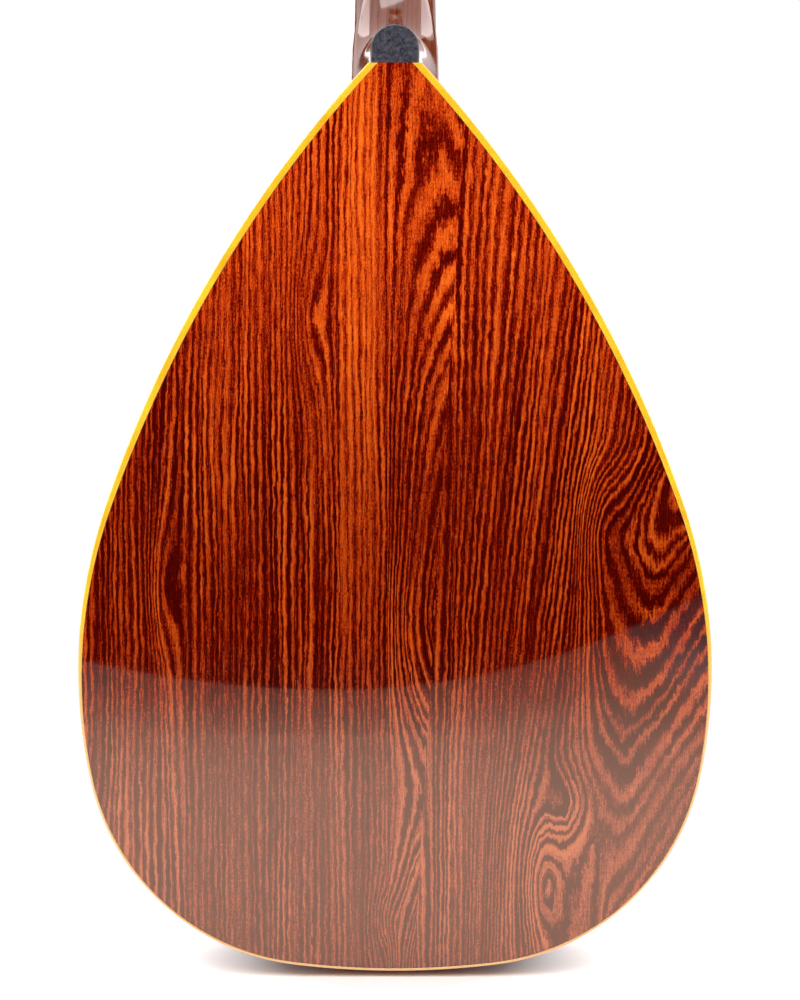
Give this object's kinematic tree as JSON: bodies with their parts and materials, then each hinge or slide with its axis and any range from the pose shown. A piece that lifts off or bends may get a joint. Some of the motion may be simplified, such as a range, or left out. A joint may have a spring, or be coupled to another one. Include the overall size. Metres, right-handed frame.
{
  "type": "mandolin",
  "caption": "Flat-backed teardrop mandolin with a glossy striped wood back, cream binding, round soundhole, adjustable floating bridge and open worm-geared tuning machines.",
  "frame": {"origin": "on the outer face of the back, on the centreline, straight behind the bridge", "axes": "+Z along the neck to the headstock, +Y out of the back so that the strings face -Y, +X to the treble side"},
  "size_m": [0.245, 0.077, 0.639],
  "materials": {
    "back_veneer": "high gloss lacquer over striped red-brown veneer",
    "side_veneer": "gloss lacquer",
    "spruce": "gloss lacquer",
    "inner_wood": "bare",
    "neck_wood": "gloss lacquer",
    "dark_wood": "oiled",
    "binding": "cream celluloid, polished",
    "rosette": "inlaid rings under lacquer",
    "guard": "mottled brown, polished",
    "black_trim": "polished",
    "bone": "polished bone",
    "pearl": "pearly",
    "nickel": "nickel plate",
    "fret_wire": "polished",
    "string_steel": "bright drawn wire",
    "string_bronze": "wound bronze",
    "machine_steel": "turned",
    "machine_brass": "turned"
  },
  "bodies": {
    "instrument": {"back_plate": "back_veneer", "back_binding": "binding", "soundboard": "spruce", "top_binding": "binding", "rosette": "rosette", "side_bass": "side_veneer", "side_treble": "side_veneer", "neck_block": "inner_wood", "tail_block": "inner_wood", "back_linings": "inner_wood", "top_linings": "inner_wood", "back_braces": "inner_wood", "top_braces": "inner_wood", "pickguard": "guard", "neck": "neck_wood", "heel_cap": "black_trim", "fretboard_wedge": "dark_wood", "fretboard": "dark_wood", "frets": "fret_wire", "position_dots": "pearl", "nut": "bone", "headstock_overlay": "black_trim", "bridge_base": "dark_wood", "bridge_posts": "machine_brass", "tailpiece_base": "nickel", "tailpiece_screws": "nickel", "plain_strings": "string_steel", "wound_strings": "string_bronze", "tuner_plate_bass": "nickel", "tuner_plate_treble": "nickel", "tuner_plate_screws": "nickel", "post_bushings": "nickel"},
    "bridge_saddle": {"bridge_saddle": "dark_wood"},
    "thumbwheel_bass": {"thumbwheel_bass": "machine_brass"},
    "thumbwheel_treble": {"thumbwheel_treble": "machine_brass"},
    "tailpiece_cover": {"tailpiece_cover": "nickel"},
    "tuner_1_key": {"worm_shaft_1": "machine_steel", "button_1": "pearl"},
    "tuner_1_post": {"string_post_1": "nickel"},
    "tuner_2_key": {"worm_shaft_2": "machine_steel", "button_2": "pearl"},
    "tuner_2_post": {"string_post_2": "nickel"},
    "tuner_3_key": {"worm_shaft_3": "machine_steel", "button_3": "pearl"},
    "tuner_3_post": {"string_post_3": "nickel"},
    "tuner_4_key": {"worm_shaft_4": "machine_steel", "button_4": "pearl"},
    "tuner_4_post": {"string_post_4": "nickel"},
    "tuner_5_key": {"worm_shaft_5": "machine_steel", "button_5": "pearl"},
    "tuner_5_post": {"string_post_5": "nickel"},
    "tuner_6_key": {"worm_shaft_6": "machine_steel", "button_6": "pearl"},
    "tuner_6_post": {"string_post_6": "nickel"},
    "tuner_7_key": {"worm_shaft_7": "machine_steel", "button_7": "pearl"},
    "tuner_7_post": {"string_post_7": "nickel"},
    "tuner_8_key": {"worm_shaft_8": "machine_steel", "button_8": "pearl"},
    "tuner_8_post": {"string_post_8": "nickel"}
  },
  "joints": [
    {"name": "saddle_lift", "type": "slide", "parent": "instrument", "child": "bridge_saddle", "axis": [0, -1, 0], "range_m": [-0.0007, 0.0014], "deforming": ["plain_strings", "wound_strings"]},
    {"name": "thumbwheel_bass_turn", "type": "hinge", "parent": "bridge_saddle", "child": "thumbwheel_bass", "pos_m": [-0.032, -0.068, 0], "axis": [0, -1, 0], "range_deg": [-360, 720]},
    {"name": "thumbwheel_treble_turn", "type": "hinge", "parent": "bridge_saddle", "child": "thumbwheel_treble", "pos_m": [0.032, -0.068, 0], "axis": [0, -1, 0], "range_deg": [-360, 720]},
    {"name": "tailpiece_cover_slide", "type": "slide", "parent": "instrument", "child": "tailpiece_cover", "axis": [0, 0, -1], "range_m": [0, 0.05]},
    {"name": "tuner_1_turn", "type": "hinge", "parent": "instrument", "child": "tuner_1_key", "pos_m": [-0.019, -0.02599, 0.38518], "axis": [1, 0, 0], "continuous": true},
    {"name": "post_1_turn", "type": "hinge", "parent": "instrument", "child": "tuner_1_post", "pos_m": [-0.019, -0.04564, 0.38334], "axis": [0, -0.9694, 0.2453], "continuous": true},
    {"name": "tuner_2_turn", "type": "hinge", "parent": "instrument", "child": "tuner_2_key", "pos_m": [-0.019, -0.02035, 0.40748], "axis": [1, 0, 0], "continuous": true},
    {"name": "post_2_turn", "type": "hinge", "parent": "instrument", "child": "tuner_2_post", "pos_m": [-0.019, -0.04, 0.40564], "axis": [0, -0.9694, 0.2453], "continuous": true},
    {"name": "tuner_3_turn", "type": "hinge", "parent": "instrument", "child": "tuner_3_key", "pos_m": [-0.019, -0.0147, 0.42978], "axis": [1, 0, 0], "continuous": true},
    {"name": "post_3_turn", "type": "hinge", "parent": "instrument", "child": "tuner_3_post", "pos_m": [-0.019, -0.03436, 0.42794], "axis": [0, -0.9694, 0.2453], "continuous": true},
    {"name": "tuner_4_turn", "type": "hinge", "parent": "instrument", "child": "tuner_4_key", "pos_m": [-0.019, -0.00906, 0.45207], "axis": [1, 0, 0], "continuous": true},
    {"name": "post_4_turn", "type": "hinge", "parent": "instrument", "child": "tuner_4_post", "pos_m": [-0.019, -0.02871, 0.45024], "axis": [0, -0.9694, 0.2453], "continuous": true},
    {"name": "tuner_5_turn", "type": "hinge", "parent": "instrument", "child": "tuner_5_key", "pos_m": [0.019, -0.02599, 0.38518], "axis": [1, 0, 0], "continuous": true},
    {"name": "post_5_turn", "type": "hinge", "parent": "instrument", "child": "tuner_5_post", "pos_m": [0.019, -0.04564, 0.38334], "axis": [0, -0.9694, 0.2453], "continuous": true},
    {"name": "tuner_6_turn", "type": "hinge", "parent": "instrument", "child": "tuner_6_key", "pos_m": [0.019, -0.02035, 0.40748], "axis": [1, 0, 0], "continuous": true},
    {"name": "post_6_turn", "type": "hinge", "parent": "instrument", "child": "tuner_6_post", "pos_m": [0.019, -0.04, 0.40564], "axis": [0, -0.9694, 0.2453], "continuous": true},
    {"name": "tuner_7_turn", "type": "hinge", "parent": "instrument", "child": "tuner_7_key", "pos_m": [0.019, -0.0147, 0.42978], "axis": [1, 0, 0], "continuous": true},
    {"name": "post_7_turn", "type": "hinge", "parent": "instrument", "child": "tuner_7_post", "pos_m": [0.019, -0.03436, 0.42794], "axis": [0, -0.9694, 0.2453], "continuous": true},
    {"name": "tuner_8_turn", "type": "hinge", "parent": "instrument", "child": "tuner_8_key", "pos_m": [0.019, -0.00906, 0.45207], "axis": [1, 0, 0], "continuous": true},
    {"name": "post_8_turn", "type": "hinge", "parent": "instrument", "child": "tuner_8_post", "pos_m": [0.019, -0.02871, 0.45024], "axis": [0, -0.9694, 0.2453], "continuous": true}
  ],
  "couplings": [
    {"joint": "thumbwheel_bass_turn", "follows": "saddle_lift", "rad_per_m": 8976},
    {"joint": "thumbwheel_treble_turn", "follows": "saddle_lift", "rad_per_m": 8976},
    {"joint": "post_1_turn", "follows": "tuner_1_turn", "ratio": 0.071429},
    {"joint": "post_2_turn", "follows": "tuner_2_turn", "ratio": 0.071429},
    {"joint": "post_3_turn", "follows": "tuner_3_turn", "ratio": 0.071429},
    {"joint": "post_4_turn", "follows": "tuner_4_turn", "ratio": 0.071429},
    {"joint": "post_5_turn", "follows": "tuner_5_turn", "ratio": 0.071429},
    {"joint": "post_6_turn", "follows": "tuner_6_turn", "ratio": 0.071429},
    {"joint": "post_7_turn", "follows": "tuner_7_turn", "ratio": 0.071429},
    {"joint": "post_8_turn", "follows": "tuner_8_turn", "ratio": 0.071429}
  ]
}
